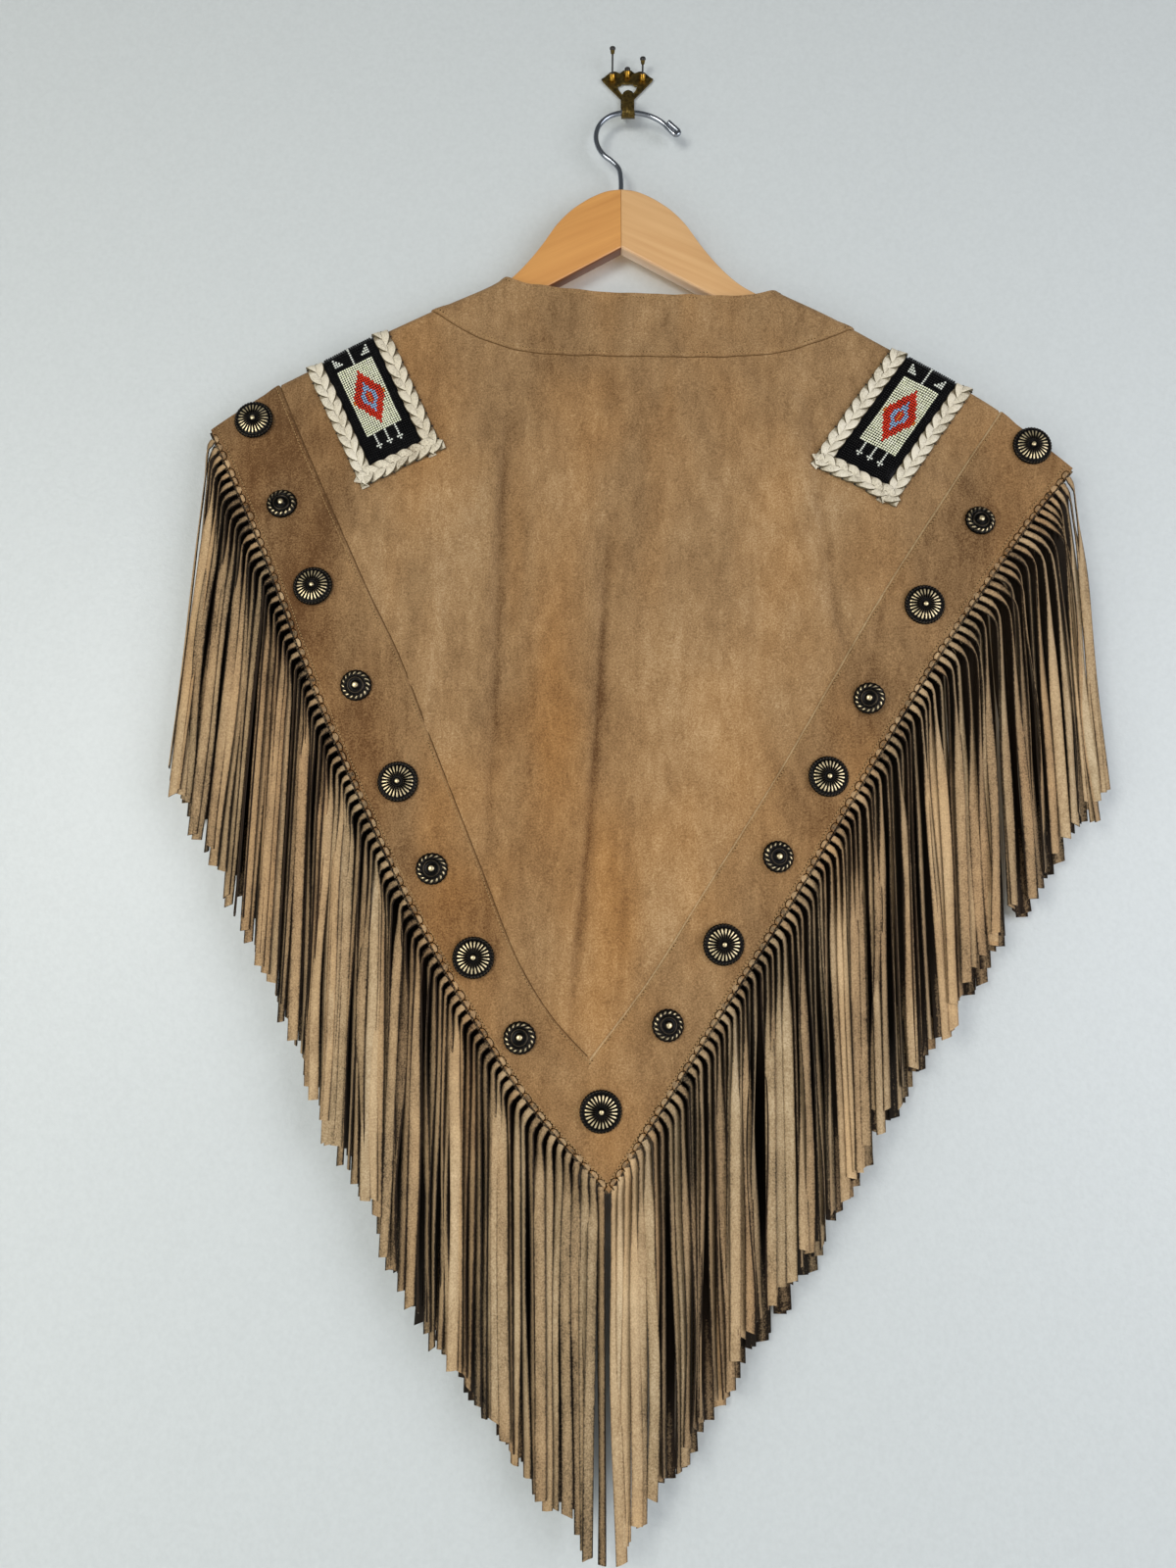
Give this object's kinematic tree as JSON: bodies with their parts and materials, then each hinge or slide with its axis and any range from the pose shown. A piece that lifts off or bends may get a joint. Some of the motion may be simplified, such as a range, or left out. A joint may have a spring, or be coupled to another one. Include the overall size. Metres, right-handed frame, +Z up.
{
  "type": "fringed shrug on a clothes hanger and wall hook",
  "caption": "Suede shrug with a pointed back, long fringe, metal conchos and beaded shoulder patches, on a wooden hanger from a nailed wall hook.",
  "frame": {"origin": "middle of the wall hook's back face, on the wall", "axes": "+Z up; +Y into the wall; -Y out into the room, the way the shrug's back faces; +X to the right as seen from the room"},
  "size_m": [0.7264, 0.0363, 1.1832],
  "materials": {
    "suede": "tan brushed suede with a mottled nap",
    "fringe_suede": "tan suede cut into strands, a little lighter than the body",
    "lace_suede": "cream suede lace, plaited and stitched down with black thread",
    "glass_beads": "rows of small opaque glass beads, black with a cream field",
    "concho_metal": "cast and antiqued, dark in the hollows and worn bright on the ridges",
    "hanger_wood": "honey-coloured, lacquered smooth",
    "hook_chrome": "polished wire",
    "wall_hook_brass": "aged pressed brass"
  },
  "bodies": {
    "root": {"wall_hook": "wall_hook_brass", "wall_nail_left": "wall_hook_brass", "wall_nail_centre": "wall_hook_brass", "wall_nail_right": "wall_hook_brass", "hanger_hook": "hook_chrome", "hanger_arm_left": "hanger_wood", "hanger_arm_right": "hanger_wood", "back_panel": "suede", "back_band": "suede", "neckband_back": "suede", "front_panel_left": "suede", "front_band_left": "suede", "neckband_front_left": "suede", "front_panel_right": "suede", "front_band_right": "suede", "neckband_front_right": "suede", "back_fringe_left": "fringe_suede", "back_fringe_right": "fringe_suede", "front_fringe_left": "fringe_suede", "front_fringe_right": "fringe_suede", "bead_strip_left": "glass_beads", "braid_frame_left": "lace_suede", "bead_strip_right": "glass_beads", "braid_frame_right": "lace_suede", "concho_01": "concho_metal", "concho_02": "concho_metal", "concho_03": "concho_metal", "concho_04": "concho_metal", "concho_05": "concho_metal", "concho_06": "concho_metal", "concho_07": "concho_metal", "concho_08": "concho_metal", "concho_09": "concho_metal", "concho_10": "concho_metal", "concho_11": "concho_metal", "concho_12": "concho_metal", "concho_13": "concho_metal", "concho_14": "concho_metal", "concho_15": "concho_metal", "concho_16": "concho_metal", "concho_17": "concho_metal"}
  },
  "joints": []
}
